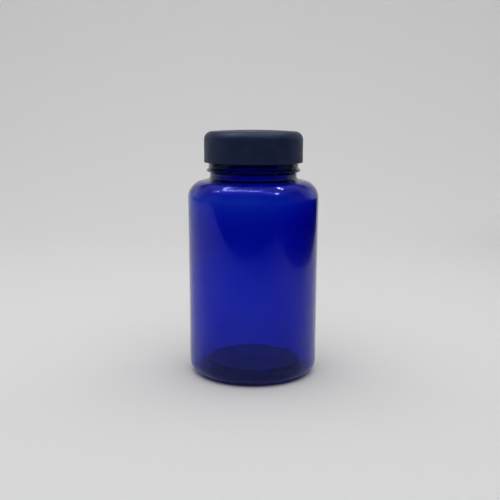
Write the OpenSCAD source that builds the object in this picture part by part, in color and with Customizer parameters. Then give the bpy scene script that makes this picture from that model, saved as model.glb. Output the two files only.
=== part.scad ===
// Wide-mouth packer bottle for tablets and capsules, 150 ml, with a screw cap.
// A thin blown bottle with a one-start right-hand thread, a smooth cap that screws onto it,
// and inside the cap a backing board that carries a foil seal.
// Millimetres, +Z up, origin at the centre of the ring that the bottle stands on.

/* [Body] */
// Height of the closed bottle, from the standing ring to the middle of the cap's top
total_h = 102; // [101.5:0.1:103]
// Diameter at the waist, the narrowest part of the label panel
waist_d = 53.84; // [53:0.02:54.4]
// Height of the waist
waist_z = 22; // [18:1:30]
// How much the radius has grown from the waist to the shoulder
shoulder_growth = 0.33; // [0:0.01:0.5]
// Radius of the rounded heel
heel_r = 5.5; // [5:0.1:6.5]
// Radius of the round shoulder
shoulder_r = 7.5; // [6:0.1:8]
// Angle of the shoulder's nearly flat top above level, degrees
shoulder_slope = 10.5; // [7:0.5:13]
// Height where the flat of the shoulder runs into the foot of the neck
neck_foot_z = 81.8; // [81:0.1:82.4]
// Radius of the fillet at the foot of the neck
foot_fillet = 1.4; // [0.8:0.1:1.8]
// Thickness of the body's blown wall
body_wall = 0.5; // [0.4:0.05:0.7]
// Thickness of the shoulder's wall, measured up and down
shoulder_wall = 0.4; // [0.35:0.05:0.6]

/* [Base] */
// Width of the flat ring that the bottle stands on
standing_ring_w = 0.8; // [0.6:0.1:1.2]
// Height of the push-up, the raised panel of the base, in its middle
push_up = 3.8; // [3:0.1:4]
// How much lower the raised panel is at its edge
panel_crown = 0.4; // [0.2:0.1:0.8]
// Width of the slope from the raised panel down to the standing ring
push_up_slope_w = 2.4; // [2:0.1:4]
// Thickness of the raised panel, which is stretched least
base_panel_t = 1.9; // [1.2:0.1:2.2]
// Thickness of the wall at the standing ring
heel_wall = 0.55; // [0.5:0.05:0.8]
// Height above which the wall is down to the body's own thickness
heel_wall_top = 9; // [6:1:12]
// Diameter of the pip that the mould's gate leaves under the base
gate_pip_d = 3; // [2:0.5:4]
// Height of that pip
gate_pip_h = 0.4; // [0.2:0.1:0.6]

/* [Neck finish] */
// Diameter of the neck below the transfer ring
low_neck_d = 36; // [35.6:0.1:36.4]
// Diameter of the neck at the root of the thread
neck_d = 35.8; // [35.6:0.1:36]
// Diameter of the neck's bore
bore_d = 32.8; // [31.5:0.1:33]
// Diameter of the collar between the transfer ring and the thread
collar_d = 37.2; // [36.4:0.1:37.6]
// Height of the collar's top
collar_top_z = 88.6; // [87.5:0.1:88.8]
// Diameter of the transfer ring
ring_d = 39; // [38.2:0.1:39.6]
// Height of the transfer ring's middle
ring_z = 85.5; // [85.1:0.1:86]
// Thickness of the ring at the neck
ring_root_t = 2.1; // [1.6:0.1:2.4]
// Thickness of the ring at its rim
ring_rim_t = 0.6; // [0.4:0.1:0.8]
// Radius of the rounded lip
lip_r = 0.5; // [0.3:0.1:0.6]

/* [Thread] */
// Rise of the thread in one turn, six threads to the inch
pitch = 4.2333; // [4.2:0.01:4.3]
// Turns of thread, on the neck and in the cap
thread_turns = 1.2; // [1:0.1:1.2]
// Height of the thread above the neck
neck_thread_depth = 0.9; // [0.7:0.05:0.9]
// Height of the thread above the cap's bore
cap_thread_depth = 1.0; // [0.8:0.05:1]
// Distance from the lip down to the middle of the neck thread's top end
thread_top_drop = 2.7; // [2.6:0.1:3]
// Distance by which the cap's thread runs below the neck's
thread_offset = 1.7; // [1.65:0.05:2.2]

/* [Cap] */
// Outside diameter of the cap
cap_d = 40.9; // [40.4:0.1:41.2]
// Height of the cap
cap_h = 13.3; // [13:0.1:13.4]
// Inside diameter of the cap, at the root of its thread
cap_bore_d = 38.2; // [38:0.1:38.4]
// Thickness of the cap's top at its middle
crown_t = 1.5; // [1.3:0.1:1.6]
// Height by which the top is domed
cap_dome = 0.55; // [0.3:0.05:0.7]
// Radius of the cap's rounded top edge
cap_corner_r = 3.5; // [2.8:0.1:3.8]
// Height of the bead that keeps the liner in the cap
bead_h = 0.6; // [0.4:0.05:0.65]

/* [Liner] */
// Diameter of the liner's two discs
liner_d = 37.7; // [37.5:0.1:37.8]
// Thickness of the backing board
board_t = 0.9; // [0.7:0.05:1]
// Thickness of the foil seal
foil_t = 0.15; // [0.1:0.05:0.2]
// Free height between the board and the cap's top
head_gap = 0.05; // [0.02:0.01:0.1]

/* [Hidden] */
$fn = 128;

arc_steps = 12;              // segments in each round stretch of an outline
thread_step = 7.5;           // degrees of thread between two of its sections
thread_fade = 35;            // degrees over which each end of a thread fades away
thread_bury = 0.4;           // how far a thread's foot is sunk in its wall
cap_inner_z = total_h - crown_t;
board_z = cap_inner_z - head_gap - board_t;
foil_z = board_z - foil_t;
mouth_z = foil_z;            // the foil lies on the lip
cap_z = total_h - cap_h;
neck_helix_z = mouth_z - thread_top_drop - pitch * thread_turns;
cap_helix_z = neck_helix_z - thread_offset;
cap_thread_start = 60;       // degrees after the neck thread's lower end
flat_r = low_neck_d / 2 + foot_fillet * (1 - sin(shoulder_slope));  // the flat starts here
flat_wall = shoulder_wall * cos(shoulder_slope) + body_wall * sin(shoulder_slope);
growth_rate = shoulder_growth / pow(shoulder_z() - waist_z, 2);

// Points along an arc, each with the direction of the surface's outward normal as a third number.
// side is 1 on an outward bulge and -1 in a hollow.
function arc(r0, z0, r, from, to, side = 1) = [
    for (i = [0 : arc_steps])
        let (a = from + (to - from) * i / arc_steps)
            [r0 + r * cos(a), z0 + r * sin(a), side > 0 ? a : a - 180]
];

// Height of the shoulder arc's centre, from where the sloping flat meets the neck's fillet.
function shoulder_z() =
    let (outer = waist_d / 2 + shoulder_growth - shoulder_r + shoulder_r * sin(shoulder_slope))
    neck_foot_z - (outer - flat_r) * tan(shoulder_slope) - shoulder_r * cos(shoulder_slope);

// Outer radius of the label panel, a very shallow waist.
function panel_r(z) = waist_d / 2 + growth_rate * pow(z - waist_z, 2);

function heel_centre_r() = panel_r(heel_r) - heel_r;
function ring_inner_r() = heel_centre_r() - standing_ring_w;
function panel_edge_r() = ring_inner_r() - push_up_slope_w;

// Underside of the base: a raised panel, and a smooth slope from it down to the standing ring.
function base_z(r) = r < panel_edge_r()
    ? push_up - panel_crown * pow(r / panel_edge_r(), 2)
    : (push_up - panel_crown) * (1 + cos(180 * (r - panel_edge_r()) / push_up_slope_w)) / 2;

// Wall thickness behind a point of the heel, the panel or the fillet at the neck. The wall is
// thinnest where the bottle was blown out furthest, and heavy in the neck.
function wall_at(p) = p[1] < shoulder_z()
    ? lookup(p[1], [[0, heel_wall], [heel_wall_top, body_wall]])
    : lookup(p[0], [[low_neck_d / 2, (low_neck_d - bore_d) / 2], [flat_r, flat_wall]]);
function base_wall_at(r) = lookup(r, [[panel_edge_r(), base_panel_t], [ring_inner_r(), heel_wall]]);

// Outer side of the bottle from the standing ring to the foot of the neck.
function body_side() = concat(
    arc(panel_r(heel_r) - heel_r, heel_r, heel_r, -90, 0),
    [for (i = [1 : arc_steps - 1])
        let (z = heel_r + (shoulder_z() - heel_r) * i / arc_steps) [panel_r(z), z, 0]],
    arc(panel_r(shoulder_z()) - shoulder_r, shoulder_z(), shoulder_r, 0, 90 - shoulder_slope),
    arc(low_neck_d / 2 + foot_fillet, neck_foot_z + foot_fillet * cos(shoulder_slope),
        foot_fillet, 270 - shoulder_slope, 180, -1)
);

function flat(points) = [for (p = points) [p[0], p[1]]];

// Inner side behind the outer side's points. On the shoulder it is the outer side moved in by
// the body's wall and down by the shoulder's.
function inset(points) = [
    for (p = points)
        let (t = wall_at(p), on_shoulder = p[1] > shoulder_z() - 0.01 && p[0] > flat_r + 0.01)
            on_shoulder
                ? [p[0] - body_wall, p[1] - shoulder_wall]
                : [p[0] - t * cos(p[2]), p[1] - t * sin(p[2])]
];
function reversed(list) = [for (i = [len(list) - 1 : -1 : 0]) list[i]];

// Radii at which the underside of the base is drawn, out to the standing ring.
function base_radii() = concat(
    [for (i = [1 : 4]) panel_edge_r() * i / 4],
    [for (i = [1 : 8]) panel_edge_r() + push_up_slope_w * i / 8]
);

// Upper face of the base: the underside drawn out to the heel's arc and raised by one wall.
function base_top() =
    let (spread = heel_centre_r() / ring_inner_r())
    [for (r = [0, each base_radii()]) [r * spread, base_z(r) + base_wall_at(r)]];

// Half of the bottle's section, from the gate pip out and up to the lip, then down inside.
function bottle_outline() = concat(
    [
        [0, push_up - gate_pip_h],
        [gate_pip_d / 2, push_up - gate_pip_h],
        [gate_pip_d / 2 + 0.1, base_z(gate_pip_d / 2)]
    ],
    [for (r = base_radii()) [r, base_z(r)]],
    flat(body_side()),
    [
        [low_neck_d / 2, ring_z - ring_root_t / 2],
        [ring_d / 2, ring_z - ring_rim_t / 2],
        [ring_d / 2, ring_z + ring_rim_t / 2],
        [collar_d / 2, ring_z + ring_root_t / 2],
        [collar_d / 2, collar_top_z],
        [neck_d / 2, collar_top_z + 0.3]
    ],
    flat(arc(neck_d / 2 - lip_r, mouth_z - lip_r, lip_r, 0, 90)),
    flat(arc(bore_d / 2 + lip_r, mouth_z - lip_r, lip_r, 90, 180)),
    // the inner side without its lowest point, which is the rim of the base's upper face
    let (side = inset(body_side())) [for (i = [len(side) - 1 : -1 : 1]) side[i]],
    reversed(base_top())
);

// Half of the cap's section, from the middle of the top out and down, then up inside.
function cap_outline() =
    let (
        edge_r = cap_d / 2 - cap_corner_r,
        dome_r = (pow(edge_r, 2) + pow(cap_dome, 2)) / (2 * cap_dome),
        dome_angle = asin(edge_r / dome_r),
        bore_r = cap_bore_d / 2,
        bead_z = foil_z - 0.2
    )
    concat(
        flat(arc(0, total_h - dome_r, dome_r, 90, 90 - dome_angle)),
        flat(arc(edge_r, total_h - cap_dome - cap_corner_r, cap_corner_r, 90 - dome_angle, 0)),
        [
            [cap_d / 2, cap_z + 0.2],
            [cap_d / 2 - 0.2, cap_z],
            [bore_r + 0.4, cap_z],
            [bore_r, cap_z + 0.6],
            [bore_r, bead_z - 1.4 * bead_h],
            [bore_r - bead_h, bead_z - 0.5 * bead_h],
            [bore_r - bead_h, bead_z - 0.3 * bead_h],
            [bore_r, bead_z],
            [bore_r, cap_inner_z - 0.15],
            [bore_r - 0.15, cap_inner_z],
            [0, cap_inner_z]
        ]
    );

// A thread on a round wall. depth is how far it stands out of the wall, and is negative in a bore.
// foot and crest are its widths at the wall and at its crest.
module thread(wall_r, depth, foot, crest, start_z, start_angle = 0) {
    side = sign(depth);
    count = round(360 * thread_turns / thread_step);
    sections = [
        for (i = [0 : count])
            let (
                turned = i * thread_step,
                full = min(1, turned / thread_fade, (count - i) * thread_step / thread_fade),
                crest_r = wall_r + depth * full - side * 0.1 * (1 - full),
                z = start_z + pitch * (turned + start_angle) / 360,
                direction = [cos(turned + start_angle), sin(turned + start_angle)]
            )
            for (corner = [
                [wall_r - side * thread_bury, -foot / 2],
                [crest_r, -crest / 2],
                [crest_r, crest / 2],
                [wall_r - side * thread_bury, foot / 2]
            ])
                [corner[0] * direction[0], corner[0] * direction[1], z + corner[1] * (0.4 + 0.6 * full)]
    ];
    skin = [
        for (i = [0 : count - 1], k = [0 : 3])
            let (a = 4 * i + k, b = 4 * i + (k + 1) % 4)
                each [[a, b, b + 4], [a, b + 4, a + 4]]
    ];
    ends = [[2, 1, 0], [3, 2, 0], [4 * count, 4 * count + 1, 4 * count + 2],
        [4 * count, 4 * count + 2, 4 * count + 3]];
    faces = concat(skin, ends);
    polyhedron(sections, side > 0 ? faces : [for (f = faces) reversed(f)]);
}

module bottle() {
    color("mediumblue")
        union() {
            rotate_extrude() polygon(bottle_outline());
            thread(neck_d / 2, neck_thread_depth, 2.4, 1.1, neck_helix_z);
        }
}

module screw_cap() {
    color("midnightblue")
        union() {
            rotate_extrude() polygon(cap_outline());
            thread(cap_bore_d / 2, -cap_thread_depth, 2, 0.9, cap_helix_z, cap_thread_start);
        }
}

module liner_board() {
    color("ivory")
        translate([0, 0, board_z]) cylinder(h = board_t, d = liner_d);
}

module foil_seal() {
    color("silver")
        translate([0, 0, foil_z]) cylinder(h = foil_t, d = liner_d);
}

bottle();
screw_cap();
liner_board();
foil_seal();
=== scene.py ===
"""The looks of a 150 ml screw-cap pill bottle: a clear cobalt-blue PET bottle, a navy
polypropylene cap, and inside the cap a pulp-board liner that carries a foil seal.

Every length is in metres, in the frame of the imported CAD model: +Z up, origin at the
centre of the ring that the bottle stands on. The four visual pieces are finer meshes of
the four CAD nodes, with rounded edges, moulded threads and small moulding marks. The
bottle's inner face also has the uneven wall that blow moulding leaves.
"""

import math

import bpy
from mathutils import Matrix, Vector


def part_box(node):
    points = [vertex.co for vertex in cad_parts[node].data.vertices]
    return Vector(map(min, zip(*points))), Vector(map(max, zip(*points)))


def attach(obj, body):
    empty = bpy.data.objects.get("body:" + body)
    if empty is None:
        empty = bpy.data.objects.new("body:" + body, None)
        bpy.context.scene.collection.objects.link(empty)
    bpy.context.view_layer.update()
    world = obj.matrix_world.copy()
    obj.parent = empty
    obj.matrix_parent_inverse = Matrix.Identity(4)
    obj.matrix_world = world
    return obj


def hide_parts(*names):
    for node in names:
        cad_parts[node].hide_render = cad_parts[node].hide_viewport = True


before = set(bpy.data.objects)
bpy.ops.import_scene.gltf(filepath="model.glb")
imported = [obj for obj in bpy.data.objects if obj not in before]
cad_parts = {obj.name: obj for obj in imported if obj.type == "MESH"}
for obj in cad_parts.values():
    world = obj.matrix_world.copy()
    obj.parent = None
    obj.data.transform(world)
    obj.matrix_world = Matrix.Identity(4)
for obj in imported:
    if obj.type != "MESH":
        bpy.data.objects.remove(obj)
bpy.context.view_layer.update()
MM = 0.001

# ---------------------------------------------------------------- heights from the CAD model

MOUTH_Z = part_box("bottle")[1].z
CAP_BOTTOM_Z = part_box("screw_cap")[0].z
CAP_TOP_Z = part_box("screw_cap")[1].z
CAP_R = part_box("screw_cap")[1].x
BOARD_LOW, BOARD_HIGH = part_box("liner_board")
FOIL_LOW, FOIL_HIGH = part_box("foil_seal")

# ---------------------------------------------------------------- the bottle's own sizes

WAIST_R = 26.92 * MM
WAIST_Z = 22 * MM
SHOULDER_GROWTH = 0.31 * MM   # keeps the widest ring a hair inside the CAD node
HEEL_R = 5.5 * MM
SHOULDER_R = 7.5 * MM
SHOULDER_SLOPE = math.radians(10.5)
NECK_FOOT_Z = 81.8 * MM
FOOT_FILLET = 1.4 * MM
BODY_WALL = 0.5 * MM
SHOULDER_WALL = 0.4 * MM      # measured up and down
HEEL_WALL = 0.55 * MM
HEEL_WALL_TOP = 9 * MM        # above this the body's wall is down to its own thickness
STANDING_RING_W = 0.8 * MM
PUSH_UP = 3.8 * MM
PANEL_CROWN = 0.4 * MM
PUSH_UP_SLOPE_W = 2.4 * MM
BASE_PANEL_T = 1.9 * MM
GATE_PIP_R = 1.5 * MM
GATE_PIP_H = 0.4 * MM
GATE_PIP_DRAFT = 0.1 * MM     # its side leans out by this
LOW_NECK_R = 18.0 * MM
NECK_R = 17.9 * MM
BORE_R = 16.4 * MM
COLLAR_R = 18.6 * MM
COLLAR_TOP_Z = 88.6 * MM
COLLAR_STEP_H = 0.3 * MM      # up the slope from the collar's edge in to the neck
THREAD_WALL_Z = COLLAR_TOP_Z + 0.6 * MM    # the neck's plain wall, for its thread, starts here
RING_R = 19.5 * MM
RING_Z = 85.5 * MM
RING_ROOT_T = 2.1 * MM
RING_RIM_T = 0.6 * MM
LIP_R = 0.5 * MM
SEAM_H = 0.02 * MM            # two parting lines of the mould, where the X axis passes
SEAM_EDGE = math.cos(math.radians(1.8))    # half a line's width, as a turn round the bottle

# ---------------------------------------------------------------- how the blown wall varies

WAVE_H = 0.03 * MM
TWO_CREST_PHASE = 0.7         # radians
THREE_CREST_SHARE = 0.6       # of the height of the wave with two crests
THREE_CREST_CLIMB = 9 * MM    # its phase shifts by one radian in this height
HEAVY_SIDE_T = 0.16 * MM      # added on the side towards +X
HEAVY_SIDE_TURN = 0.25        # radians from +X towards -Y
BELT_T = 0.07 * MM            # added in a belt above mid height
BELT_Z = 56 * MM
BELT_REACH = 15 * MM
STRETCH_T = 0.18 * MM         # taken off under the shoulder
STRETCH_Z = 64 * MM
STRETCH_FADE = 10 * MM
UNEVEN_FADE_LOW = 8 * MM      # heights in which the changes die out at the heel and the neck
UNEVEN_FADE_HIGH = 6 * MM

# ---------------------------------------------------------------- threads and cap

PITCH = 4.2333 * MM
THREAD_TURNS = 1.2
THREAD_TOP_DROP = 2.7 * MM
THREAD_OFFSET = 1.7 * MM
THREAD_FADE = math.radians(35)
NECK_THREAD = (0.9 * MM, 2.4 * MM, 0.9 * MM)    # height, width at its foot, width of its crest
CAP_THREAD = (1.0 * MM, 2.0 * MM, 0.75 * MM)
NECK_HELIX_Z = MOUTH_Z - THREAD_TOP_DROP - PITCH * THREAD_TURNS
CAP_HELIX_Z = NECK_HELIX_Z - THREAD_OFFSET
CAP_THREAD_START = math.radians(60)

CAP_BORE_R = 19.1 * MM
CAP_CROWN_T = 1.5 * MM
CAP_DOME = 0.55 * MM
CAP_CORNER_R = 3.5 * MM
CAP_CEILING_R = CAP_BORE_R - 0.5 * MM
CAP_EDGE_Z = CAP_BOTTOM_Z + 0.5 * MM    # the outline of the bottom edge starts here
CAP_SIDE_LOW_Z = CAP_BOTTOM_Z + 0.6 * MM    # and the rows of the plain side end over it
LEAD_IN_W = 0.4 * MM          # the slope that leads into the cap's bore
LEAD_IN_H = 0.6 * MM
LEAD_IN_NICK = 0.05 * MM      # takes the sharp edge off its foot
CAP_THREAD_WALL_Z = CAP_BOTTOM_Z + 0.9 * MM    # the bore's plain wall starts here
BEAD_H = 0.6 * MM
BEAD_DROP = 0.2 * MM          # from the foil down to the bead's upper side

# ---------------------------------------------------------------- roundings
# Each says how far a rounded corner reaches along the two sides that meet in it.

SMALL_EASE = 0.15 * MM
RING_ROOT_EASE = 0.35 * MM
RING_RIM_EASE = 0.22 * MM
COLLAR_LOW_EASE = 0.3 * MM
COLLAR_HIGH_EASE = 0.25 * MM
CAP_EDGE_EASE = 0.3 * MM
LEAD_IN_EASE = 0.2 * MM
BEAD_TOP_EASE = 0.1 * MM
BOARD_EASE = 0.12 * MM
FOIL_EASE = 0.04 * MM

# ---------------------------------------------------------------- fineness of the meshes

AROUND = 192                  # points round each turned piece
THREAD_ROW = 0.16 * MM        # height of a row of faces where a thread runs
BORE_ROW = 1.2 * MM
CAP_SIDE_ROW = 0.8 * MM
EASE_STEPS = 5                # faces round each eased corner
HEEL_STEPS = 18               # this and the rest: faces along the part of an outline it names
PANEL_STEPS = 36
SHOULDER_STEPS = 24
FOOT_STEPS = 10
LIP_STEPS = 8
BASE_STEPS = 20               # along the panel, and again along its slope
DOME_STEPS = 20
CAP_CORNER_STEPS = 24
CEILING_STEPS = 12
HAIR = 0.01 * MM              # slack for telling which wall a point is on
ON_AXIS = 1e-9                # a point nearer to the axis than this closes the mesh


# ---------------------------------------------------------------- outlines

def arc(r0, z0, radius, start, end, steps):
    """Points (r, z, outward angle) along an arc, its angles in degrees."""
    points = []
    for i in range(steps + 1):
        a = math.radians(start + (end - start) * i / steps)
        points.append((r0 + radius * math.cos(a), z0 + radius * math.sin(a), a))
    return points


def eased(corners):
    """An outline through corners (r, z, ease), each rounded over ease metres on both sides."""
    points = []
    for i, (r, z, ease) in enumerate(corners):
        if not ease or i in (0, len(corners) - 1):
            points.append((r, z))
            continue
        corner = Vector((r, z))
        before = corner + (Vector(corners[i - 1][:2]) - corner).normalized() * ease
        after = corner + (Vector(corners[i + 1][:2]) - corner).normalized() * ease
        for k in range(EASE_STEPS + 1):
            t = k / EASE_STEPS
            p = before * (1 - t) ** 2 + corner * 2 * t * (1 - t) + after * t**2
            points.append((p.x, p.y))
    return points


def rows_between(r, low, high, step):
    """Points at most step apart along a straight wall of radius r, both ends left out."""
    count = math.ceil(abs(high - low) / step)
    return [(r, low + (high - low) * i / count) for i in range(1, count)]


# The shoulder's straight slope: its inner radius and its wall.
FLAT_R = LOW_NECK_R + FOOT_FILLET * (1 - math.sin(SHOULDER_SLOPE))
FLAT_WALL = SHOULDER_WALL * math.cos(SHOULDER_SLOPE) + BODY_WALL * math.sin(SHOULDER_SLOPE)


def shoulder_z():
    """Height of the centre of the shoulder's arc."""
    outer = WAIST_R + SHOULDER_GROWTH - SHOULDER_R + SHOULDER_R * math.sin(SHOULDER_SLOPE)
    drop = (outer - FLAT_R) * math.tan(SHOULDER_SLOPE) + SHOULDER_R * math.cos(SHOULDER_SLOPE)
    return NECK_FOOT_Z - drop


SHOULDER_Z = shoulder_z()


def panel_r(z):
    """Outer radius of the label panel, a very shallow waist."""
    return WAIST_R + SHOULDER_GROWTH * ((z - WAIST_Z) / (SHOULDER_Z - WAIST_Z)) ** 2


HEEL_CENTRE_R = panel_r(HEEL_R) - HEEL_R
RING_INNER_R = HEEL_CENTRE_R - STANDING_RING_W
PANEL_EDGE_R = RING_INNER_R - PUSH_UP_SLOPE_W


def mix(a, b, t):
    """From a at t = 0 to b at t = 1, held at both ends."""
    return a + (b - a) * min(1, max(0, t))


def wall_at(r, z):
    """Wall thickness behind a point of the heel, the panel or the fillet at the neck."""
    if z < SHOULDER_Z:
        return mix(HEEL_WALL, BODY_WALL, z / HEEL_WALL_TOP)
    return mix(LOW_NECK_R - BORE_R, FLAT_WALL, (r - LOW_NECK_R) / (FLAT_R - LOW_NECK_R))


def body_side():
    """Outer side from the standing ring to the foot of the neck, as (r, z, outward angle)."""
    slope = math.degrees(SHOULDER_SLOPE)
    foot = arc(LOW_NECK_R + FOOT_FILLET, NECK_FOOT_Z + FOOT_FILLET * math.cos(SHOULDER_SLOPE),
               FOOT_FILLET, 270 - slope, 180, FOOT_STEPS)
    panel_h = SHOULDER_Z - HEEL_R
    heights = [HEEL_R + panel_h * i / PANEL_STEPS for i in range(1, PANEL_STEPS)]
    return (
        arc(HEEL_CENTRE_R, HEEL_R, HEEL_R, -90, 0, HEEL_STEPS)
        + [(panel_r(z), z, 0) for z in heights]
        + arc(panel_r(SHOULDER_Z) - SHOULDER_R, SHOULDER_Z, SHOULDER_R, 0, 90 - slope,
              SHOULDER_STEPS)
        + [(r, z, a - math.pi) for r, z, a in foot]
    )


def inset(points):
    """The inner side behind (r, z, outward angle) points.

    On the shoulder it is the outer side moved in by BODY_WALL and down by SHOULDER_WALL.
    """
    inner = []
    for r, z, a in points:
        if z > SHOULDER_Z - HAIR and r > FLAT_R + HAIR:
            inner.append((r - BODY_WALL, z - SHOULDER_WALL))
        else:
            t = wall_at(r, z)
            inner.append((r - t * math.cos(a), z - t * math.sin(a)))
    return inner


def base_z(r):
    """Underside of the base: a raised panel, and a smooth slope from it to the standing ring."""
    if r < PANEL_EDGE_R:
        return PUSH_UP - PANEL_CROWN * (r / PANEL_EDGE_R) ** 2
    down = math.pi * (r - PANEL_EDGE_R) / PUSH_UP_SLOPE_W
    return (PUSH_UP - PANEL_CROWN) * (1 + math.cos(down)) / 2


def base_wall(r):
    """Thickness of the base over a point of its underside."""
    return mix(BASE_PANEL_T, HEEL_WALL, (r - PANEL_EDGE_R) / PUSH_UP_SLOPE_W)


def base_top(radii):
    """Upper face of the base: the underside drawn out to the heel's arc and raised by one wall."""
    spread = HEEL_CENTRE_R / RING_INNER_R
    return [(r * spread, base_z(r) + base_wall(r)) for r in radii]


def bottle_outline():
    """Half of the bottle's section as (r, z, is_outside), from under the base to above it."""
    steps = range(1, BASE_STEPS + 1)
    radii = [PANEL_EDGE_R * i / BASE_STEPS for i in steps]
    radii += [PANEL_EDGE_R + PUSH_UP_SLOPE_W * i / BASE_STEPS for i in steps]
    pip = [
        (0, PUSH_UP - GATE_PIP_H, 0),
        (GATE_PIP_R, PUSH_UP - GATE_PIP_H, SMALL_EASE),
        (GATE_PIP_R + GATE_PIP_DRAFT, base_z(GATE_PIP_R), 0),
    ]
    side = body_side()
    ring = eased([
        (LOW_NECK_R, side[-1][1], 0),
        (LOW_NECK_R, RING_Z - RING_ROOT_T / 2, RING_ROOT_EASE),
        (RING_R, RING_Z - RING_RIM_T / 2, RING_RIM_EASE),
        (RING_R, RING_Z + RING_RIM_T / 2, RING_RIM_EASE),
        (COLLAR_R, RING_Z + RING_ROOT_T / 2, COLLAR_LOW_EASE),
        (COLLAR_R, COLLAR_TOP_Z, COLLAR_HIGH_EASE),
        (NECK_R, COLLAR_TOP_Z + COLLAR_STEP_H, SMALL_EASE),
        (NECK_R, THREAD_WALL_Z, 0),
    ])
    lip_z = MOUTH_Z - LIP_R
    outside = (
        eased(pip)
        + [(r, base_z(r)) for r in radii if r > GATE_PIP_R + 2 * GATE_PIP_DRAFT]
        + [(r, z) for r, z, _ in side]
        + ring
        + rows_between(NECK_R, THREAD_WALL_Z, lip_z, THREAD_ROW)
        + [(r, z) for r, z, _ in arc(NECK_R - LIP_R, lip_z, LIP_R, 0, 90, LIP_STEPS)]
    )
    inner_side = inset(side)[:0:-1]
    inside = (
        [(r, z) for r, z, _ in arc(BORE_R + LIP_R, lip_z, LIP_R, 90, 180, LIP_STEPS)]
        + rows_between(BORE_R, lip_z, inner_side[0][1], BORE_ROW)
        + inner_side
        + base_top([0] + radii)[::-1]
    )
    return [(r, z, True) for r, z in outside] + [(r, z, False) for r, z in inside]


def cap_outline():
    """Half of the cap's section as (r, z, is_outside), from the top's middle round to inside."""
    edge_r = CAP_R - CAP_CORNER_R
    dome_r = (edge_r**2 + CAP_DOME**2) / (2 * CAP_DOME)
    dome_angle = math.degrees(math.asin(edge_r / dome_r))
    corner_z = CAP_TOP_Z - CAP_DOME - CAP_CORNER_R
    dome = arc(0, CAP_TOP_Z - dome_r, dome_r, 90, 90 - dome_angle, DOME_STEPS)
    corner = arc(edge_r, corner_z, CAP_CORNER_R, 90 - dome_angle, 0, CAP_CORNER_STEPS)
    outside = (
        [(r, z) for r, z, _ in dome + corner[1:]]
        + rows_between(CAP_R, corner_z, CAP_SIDE_LOW_Z, CAP_SIDE_ROW)
        + eased([
            (CAP_R, CAP_EDGE_Z, 0),
            (CAP_R, CAP_BOTTOM_Z, CAP_EDGE_EASE),
            (CAP_BORE_R + LEAD_IN_W, CAP_BOTTOM_Z, 0),
        ])
    )
    bead_z = FOIL_LOW.z - BEAD_DROP
    bead_foot_z = bead_z - 2 * BEAD_H
    inner_z = CAP_TOP_Z - CAP_CROWN_T
    ceiling_rs = [CAP_CEILING_R * i / CEILING_STEPS for i in range(CEILING_STEPS - 1, -1, -1)]
    inside = (
        eased([
            (CAP_BORE_R + LEAD_IN_W - LEAD_IN_NICK, CAP_BOTTOM_Z + LEAD_IN_NICK, 0),
            (CAP_BORE_R, CAP_BOTTOM_Z + LEAD_IN_H, LEAD_IN_EASE),
            (CAP_BORE_R, CAP_THREAD_WALL_Z, 0),
        ])
        + rows_between(CAP_BORE_R, CAP_THREAD_WALL_Z, bead_foot_z, THREAD_ROW)
        + eased([
            (CAP_BORE_R, bead_foot_z, 0),
            (CAP_BORE_R, bead_z - 1.4 * BEAD_H, SMALL_EASE),
            (CAP_BORE_R - BEAD_H, bead_z - 0.5 * BEAD_H, SMALL_EASE),
            (CAP_BORE_R, bead_z, BEAD_TOP_EASE),
            (CAP_BORE_R, inner_z, SMALL_EASE),
            (CAP_CEILING_R, inner_z, 0),
        ])
        + [(r, inner_z) for r in ceiling_rs]
    )
    return [(r, z, True) for r, z in outside] + [(r, z, False) for r, z in inside]


def disc_outline(low, high, ease):
    """Half of the section of a flat disc between two corners of its box, its edge rounded."""
    section = eased([
        (0, high.z, 0),
        (high.x, high.z, ease),
        (high.x, low.z, ease),
        (0, low.z, 0),
    ])
    return [(r, z, True) for r, z in section]


# ---------------------------------------------------------------- relief on turned pieces

def smooth(t):
    """0 below 0, 1 above 1, and an even curve between."""
    t = min(1, max(0, t))
    return t * t * (3 - 2 * t)


def thread_height(angle, z, helix_z, start, depth, foot, crest):
    """Height of a one-start thread over its wall at one place."""
    best = 0
    total = 2 * math.pi * THREAD_TURNS
    first = (angle - start) % (2 * math.pi)
    for swept in (first, first + 2 * math.pi):
        if swept > total:
            continue
        full = smooth(min(swept, total - swept) / THREAD_FADE)
        off = abs(z - helix_z - PITCH * (swept + start) / (2 * math.pi))
        flank = (foot / 2 - off) / (foot / 2 - crest / 2)
        best = max(best, depth * full * smooth(flank))
    return best


def uneven_wall(angle, z):
    """How far outwards the bottle's inner face lies from an even wall's.

    The wall is heavier on one side and in a belt above mid height, thinner under the
    shoulder, and gently waved all round.
    """
    low_fade = smooth((z - HEEL_R) / UNEVEN_FADE_LOW)
    high_fade = smooth((NECK_FOOT_Z - z) / UNEVEN_FADE_HIGH)
    two_crests = math.sin(2 * angle + TWO_CREST_PHASE)
    three_crests = math.sin(3 * angle - z / THREE_CREST_CLIMB)
    wave = two_crests + THREE_CREST_SHARE * three_crests
    heavy = smooth(math.cos(angle + HEAVY_SIDE_TURN))
    belt = smooth(1 - abs(z - BELT_Z) / BELT_REACH)
    stretched = smooth((z - STRETCH_Z) / STRETCH_FADE)
    added = HEAVY_SIDE_T * heavy + BELT_T * belt
    return low_fade * high_fade * (WAVE_H * wave - added + STRETCH_T * stretched)


def bottle_relief(r, z, angle, outside):
    """Thread on the neck, two faint mould seams outside, and uneven blown walls inside."""
    if outside and z > THREAD_WALL_Z - HAIR and r > NECK_R - HAIR:
        return thread_height(angle, z, NECK_HELIX_Z, 0, *NECK_THREAD)
    if not outside and HEEL_R < z < NECK_FOOT_Z:
        return uneven_wall(angle, z)
    if outside and HEEL_R < z < SHOULDER_Z:
        return SEAM_H * smooth((abs(math.cos(angle)) - SEAM_EDGE) / (1 - SEAM_EDGE))
    return 0


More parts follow.
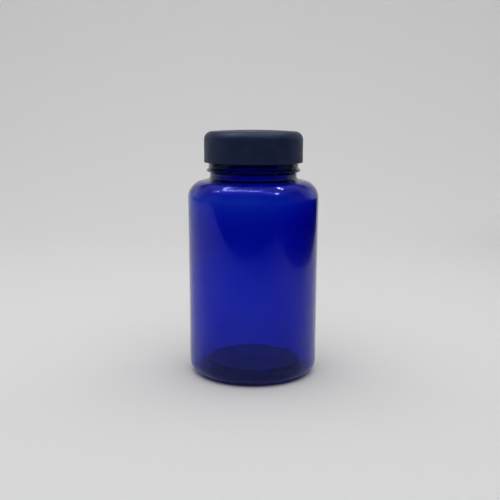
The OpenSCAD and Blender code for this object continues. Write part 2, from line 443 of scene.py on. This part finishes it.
def cap_relief(r, z, angle, outside):
    """The cap's own thread, which stands inwards from its bore."""
    if outside or abs(r - CAP_BORE_R) > HAIR:
        return 0
    return -thread_height(angle, z, CAP_HELIX_Z, CAP_THREAD_START, *CAP_THREAD)


def turned(name, outline, relief=None):
    """A closed solid of revolution from a half section that starts and ends on the axis."""
    verts, faces, rings = [], [], []
    for r, z, outside in outline:
        if r < ON_AXIS:
            rings.append([len(verts)])
            verts.append((0, 0, z))
            continue
        ring = []
        for i in range(AROUND):
            a = 2 * math.pi * i / AROUND
            reach = r + (relief(r, z, a, outside) if relief else 0)
            ring.append(len(verts))
            verts.append((reach * math.cos(a), reach * math.sin(a), z))
        rings.append(ring)
    for low, high in zip(rings, rings[1:]):
        for i in range(AROUND):
            j = (i + 1) % AROUND
            if len(low) == 1:
                faces.append((low[0], high[j], high[i]))
            elif len(high) == 1:
                faces.append((low[i], low[j], high[0]))
            else:
                faces.append((low[i], low[j], high[j], high[i]))
    mesh = bpy.data.meshes.new(name)
    mesh.from_pydata(verts, [], faces)
    mesh.validate()
    mesh.polygons.foreach_set("use_smooth", [True] * len(mesh.polygons))
    obj = bpy.data.objects.new(name, mesh)
    bpy.context.scene.collection.objects.link(obj)
    return obj


# ---------------------------------------------------------------- materials

class Material:
    """A node material, with short calls for the nodes that the finishes below share."""

    def __init__(self, name):
        self.data = bpy.data.materials.new(name)
        self.data.use_nodes = True
        self.tree = self.data.node_tree
        self.shader = self.tree.nodes["Principled BSDF"]
        self.output = self.tree.nodes["Material Output"]
        self.place = self.tree.nodes.new("ShaderNodeTexCoord").outputs["Object"]

    def set(self, **values):
        """Constants on the shader, with _ for the spaces in the sockets' names."""
        for name, value in values.items():
            self.shader.inputs[name.replace("_", " ")].default_value = value

    def noise(self, scale, detail, stretch=(1, 1, 1), roughness=0.5):
        """Noise, scale features to the metre, squeezed along each axis by stretch."""
        mapping = self.tree.nodes.new("ShaderNodeMapping")
        mapping.inputs["Scale"].default_value = stretch
        node = self.tree.nodes.new("ShaderNodeTexNoise")
        node.inputs["Scale"].default_value = scale
        node.inputs["Detail"].default_value = detail
        node.inputs["Roughness"].default_value = roughness
        self.tree.links.new(self.place, mapping.inputs["Vector"])
        self.tree.links.new(mapping.outputs["Vector"], node.inputs["Vector"])
        return node.outputs["Fac"]

    def ramp(self, value, stops):
        """A value or colour that follows stops of (position, grey or colour)."""
        node = self.tree.nodes.new("ShaderNodeValToRGB")
        elements = node.color_ramp.elements
        while len(elements) < len(stops):
            elements.new(0.5)
        for element, (position, colour) in zip(elements, stops):
            element.position = position
            element.color = (*colour, 1) if isinstance(colour, tuple) else (colour,) * 3 + (1,)
        self.tree.links.new(value, node.inputs["Fac"])
        return node.outputs["Color"]

    def along(self, axis, low, high):
        """How far a place lies between low and high metres along one axis, from 0 to 1."""
        place = self.tree.nodes.new("ShaderNodeSeparateXYZ")
        self.tree.links.new(self.place, place.inputs["Vector"])
        scaled = self.tree.nodes.new("ShaderNodeMapRange")
        scaled.inputs["From Min"].default_value = low
        scaled.inputs["From Max"].default_value = high
        self.tree.links.new(place.outputs[axis], scaled.inputs["Value"])
        return scaled.outputs["Result"]

    def drive(self, socket, value):
        """Let a value or colour feed one of the shader's sockets."""
        self.tree.links.new(value, self.shader.inputs[socket])

    def bump(self, *layers):
        """Bump from layers of (height value, depth in metres), the first one lowest."""
        normal = None
        for value, depth in layers:
            node = self.tree.nodes.new("ShaderNodeBump")
            node.inputs["Distance"].default_value = depth
            self.tree.links.new(value, node.inputs["Height"])
            if normal:
                self.tree.links.new(normal, node.inputs["Normal"])
            normal = node.outputs["Normal"]
        self.drive("Normal", normal)


def clear_blue_pet():
    """Cobalt-blue PET: clear walls that take out red and green, with faint waves and scuffs."""
    m = Material("clear_blue_pet")
    m.set(Base_Color=(1, 1, 1, 1), IOR=1.575, Transmission_Weight=1.0,
          Specular_Tint=(0.35, 0.4, 1, 1))
    scuffs = m.noise(420, 4)
    m.drive("Roughness", m.ramp(scuffs, [(0.35, 0.015), (0.62, 0.045), (0.78, 0.11)]))
    waves = m.noise(55, 2, (1, 1, 0.45))
    grain = m.noise(900, 3)
    m.bump((waves, 0.06 * MM), (grain, 0.002 * MM))
    absorption = m.tree.nodes.new("ShaderNodeVolumeAbsorption")
    absorption.inputs["Color"].default_value = (0.0, 0.32, 0.892, 1)
    absorption.inputs["Density"].default_value = 6700
    m.tree.links.new(absorption.outputs["Volume"], m.output.inputs["Volume"])
    return m.data


def navy_polypropylene():
    """Dark navy polypropylene: satin, finely grained by its mould, rubbed smoother in places."""
    m = Material("navy_polypropylene")
    m.set(IOR=1.49, Specular_IOR_Level=0.3, Specular_Tint=(0.45, 0.7, 1, 1))
    mottle = m.noise(160, 5)
    dark, light = (0.012, 0.017, 0.050), (0.016, 0.024, 0.070)
    m.drive("Base Color", m.ramp(mottle, [(0.3, dark), (0.7, light)]))
    rubbed = m.noise(240, 5)
    m.drive("Roughness", m.ramp(rubbed, [(0.3, 0.38), (0.7, 0.52)]))
    grain = m.noise(2600, 3)
    sink_marks = m.noise(90, 2)
    m.bump((grain, 0.03 * MM), (sink_marks, 0.03 * MM))
    return m.data


def pulp_board():
    """Off-white pressed pulp board with short fibres."""
    m = Material("pulp_board")
    m.set(IOR=1.4)
    fibres = m.noise(1900, 6, (1, 0.25, 1), 0.65)
    dark, middle, light = (0.60, 0.55, 0.46), (0.76, 0.72, 0.64), (0.82, 0.79, 0.73)
    m.drive("Base Color", m.ramp(fibres, [(0.25, dark), (0.5, middle), (0.75, light)]))
    pressed = m.noise(700, 4)
    m.drive("Roughness", m.ramp(pressed, [(0.3, 0.78), (0.7, 0.95)]))
    m.bump((fibres, 0.08 * MM))
    return m.data


def seal_foil():
    """Rolled aluminium foil under a thin clear heat-seal film."""
    m = Material("seal_foil")
    m.set(Metallic=1.0, Coat_Weight=0.5, Coat_Roughness=0.12, Coat_IOR=1.5)
    mottle = m.noise(300, 4)
    dark, light = (0.74, 0.745, 0.75), (0.86, 0.86, 0.865)
    m.drive("Base Color", m.ramp(mottle, [(0.3, dark), (0.7, light)]))
    rolled = m.noise(1500, 4, (1, 0.03, 1))
    m.drive("Roughness", m.ramp(rolled, [(0.3, 0.22), (0.7, 0.38)]))
    wrinkles = m.noise(260, 3)
    m.bump((rolled, 0.01 * MM), (wrinkles, 0.05 * MM))
    return m.data


# ---------------------------------------------------------------- the four pieces

def add_piece(name, outline, relief, finish, body, node):
    """A turned piece that rides on a body, stands for one CAD node and takes one finish."""
    piece = turned(name, outline, relief)
    piece.data.materials.append(finish())
    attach(piece, body)
    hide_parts(node)


add_piece("pet_bottle", bottle_outline(), bottle_relief, clear_blue_pet, "bottle", "bottle")
add_piece("cap_shell", cap_outline(), cap_relief, navy_polypropylene, "cap", "screw_cap")
add_piece("backing_board", disc_outline(BOARD_LOW, BOARD_HIGH, BOARD_EASE), None, pulp_board,
          "liner", "liner_board")
add_piece("foil_disc", disc_outline(FOIL_LOW, FOIL_HIGH, FOIL_EASE), None, seal_foil,
          "liner", "foil_seal")

# ---------------------------------------------------------------- studio

def add_sheet(name, rows, axis, stops):
    """A matt paper sheet through rows of points, its grey following stops of (metres, grey)."""
    width = len(rows[0])
    faces = [
        (i * width + k, i * width + k + 1, (i + 1) * width + k + 1, (i + 1) * width + k)
        for i in range(len(rows) - 1) for k in range(width - 1)
    ]
    mesh = bpy.data.meshes.new(name)
    mesh.from_pydata([point for row in rows for point in row], [], faces)
    mesh.polygons.foreach_set("use_smooth", [True] * len(mesh.polygons))
    sheet = bpy.data.objects.new(name, mesh)
    bpy.context.scene.collection.objects.link(sheet)
    m = Material(name)
    m.set(Roughness=0.9, Specular_IOR_Level=0.2)
    low, high = stops[0][0], stops[-1][0]
    greys = [((at - low) / (high - low), grey) for at, grey in stops]
    m.drive("Base Color", m.ramp(m.along(axis, low, high), greys))
    mesh.materials.append(m.data)


def add_backdrop():
    """A pale sweep: a level floor that curves up into a wall behind the bottle.

    Its grey is painted darker towards its front edge as painted shade, and a low black card,
    a sheet of painted shade that is greyer at its foot, stands on its right: both show in the
    bottle's side as soft dark fields.
    """
    wall_y, bend, top, half_width = 0.62, 0.30, 0.5, 1.3
    front_left, front_right = 0.0, -0.62
    outline = [(wall_y - bend, 0.0)]
    steps = 24
    for i in range(1, steps + 1):
        a = math.pi / 2 * i / steps
        outline.append((wall_y - bend + bend * math.sin(a), bend - bend * math.cos(a)))
    outline.append((wall_y, top))
    rows = [[(-half_width, front_left, 0.0), (half_width, front_right, 0.0)]]
    rows += [[(-half_width, y, z), (half_width, y, z)] for y, z in outline]
    # painted shade: the floor's grey falls to near black towards its front edge
    add_sheet("backdrop", rows, "Y", [(-0.34, 0.02), (-0.25, 0.45), (-0.14, 0.80)])
    # painted shade: a black sheet standing in for the darker surroundings on the right, its grey
    # lighter at its foot so its dark field in the bottle fades in softly
    card_x, card_front, card_back, card_top = 0.26, -0.35, 0.38, 0.06
    card = [[(card_x, y, 0.0), (card_x, y, card_top)] for y in (card_front, card_back)]
    add_sheet("painted_shade_card", card, "Z", [(0.0, 0.35), (0.012, 0.05), (0.03, 0.01)])


def add_area_light(name, place, target, size, power):
    """A flat rectangular lamp of size (width, height) at place that faces target."""
    data = bpy.data.lights.new(name, "AREA")
    data.shape = "RECTANGLE"
    data.size, data.size_y = size
    data.energy = power
    lamp = bpy.data.objects.new(name, data)
    lamp.location = place
    lamp.rotation_euler = (Vector(target) - Vector(place)).to_track_quat("-Z", "Y").to_euler()
    bpy.context.scene.collection.objects.link(lamp)
    return lamp


def add_led_strips():
    """Bare light-emitting diodes under the ceiling, seen as specks on the bottle's shoulder."""
    pitch, width, height = 0.035, 0.02, 0.55
    strips = [
        ((-0.28, 0.06), (-0.07, 0.24)),
        ((0.09, 0.27), (0.26, 0.06)),
        ((-0.55, 0.03), (0.45, -0.27)),
    ]
    verts, faces = [], []
    for start, end in strips:
        along = Vector(end) - Vector(start)
        count = round(along.length / pitch)
        for i in range(count + 1):
            x, y = Vector(start) + along * (i / count)
            faces.append(tuple(range(len(verts), len(verts) + 4)))
            verts += [
                (x + dx * width / 2, y + dy * width / 2, height)
                for dx, dy in ((-1, -1), (-1, 1), (1, 1), (1, -1))
            ]
    mesh = bpy.data.meshes.new("led_strips")
    mesh.from_pydata(verts, [], faces)
    strip = bpy.data.objects.new("led_strips", mesh)
    bpy.context.scene.collection.objects.link(strip)
    m = Material("led")
    m.set(Base_Color=(0, 0, 0, 1), Emission_Color=(1, 1, 1, 1), Emission_Strength=55)
    mesh.materials.append(m.data)
    strip.visible_diffuse = False


def add_lights():
    """A light tent: a soft key just under a dim ceiling, a front fill, and side walls.

    The key and the fill light every surface but are not seen in reflections.
    """
    key = add_area_light("key", (0, 0.04, 0.62), (0, 0.04, 0), (1.1, 0.8), 3.1)
    fill = add_area_light("front_fill", (0, -0.55, 0.62), (0, 0, 0), (1.0, 0.5), 1.4)
    for lamp in (key, fill):
        lamp.visible_glossy = False
    add_area_light("ceiling", (0, 0.05, 0.63), (0, 0.05, 0), (1.2, 1.1), 1.4)
    wall, rear = (0.5, 0.5), (0.46, 0.46)
    add_area_light("left_wall", (-0.60, -0.10, 0.30), (0, -0.10, 0.17), wall, 0.15)
    add_area_light("right_wall", (0.60, -0.10, 0.30), (0, -0.10, 0.17), wall, 0.10)
    add_area_light("left_rear", (-0.60, 0.38, 0.34), (0, 0.38, 0.24), rear, 0.30)
    add_area_light("right_rear", (0.60, 0.38, 0.34), (0, 0.38, 0.24), rear, 0.30)
    add_led_strips()
    world = bpy.data.worlds.new("room")
    world.use_nodes = True
    room_grey = (0.03, 0.03, 0.03, 1)
    world.node_tree.nodes["Background"].inputs["Color"].default_value = room_grey
    bpy.context.scene.world = world


def add_camera():
    """A camera a hand's height over the table, tipped down, with a trace of tilt."""
    distance, height = 322.3 * MM, 105.7 * MM
    pitch, roll = math.radians(90 - 9.5), math.radians(0.2)
    data = bpy.data.cameras.new("camera")
    data.sensor_width = 36
    data.lens = 55.66
    data.shift_x = -0.0063
    data.clip_start = 0.01
    camera = bpy.data.objects.new("camera", data)
    camera.matrix_world = (
        Matrix.Translation((0, -distance, height))
        @ Matrix.Rotation(pitch, 4, "X")
        @ Matrix.Rotation(roll, 4, "Z")
    )
    bpy.context.scene.collection.objects.link(camera)
    bpy.context.scene.camera = camera


add_backdrop()
add_lights()
add_camera()
bpy.context.scene.view_settings.view_transform = "Standard"
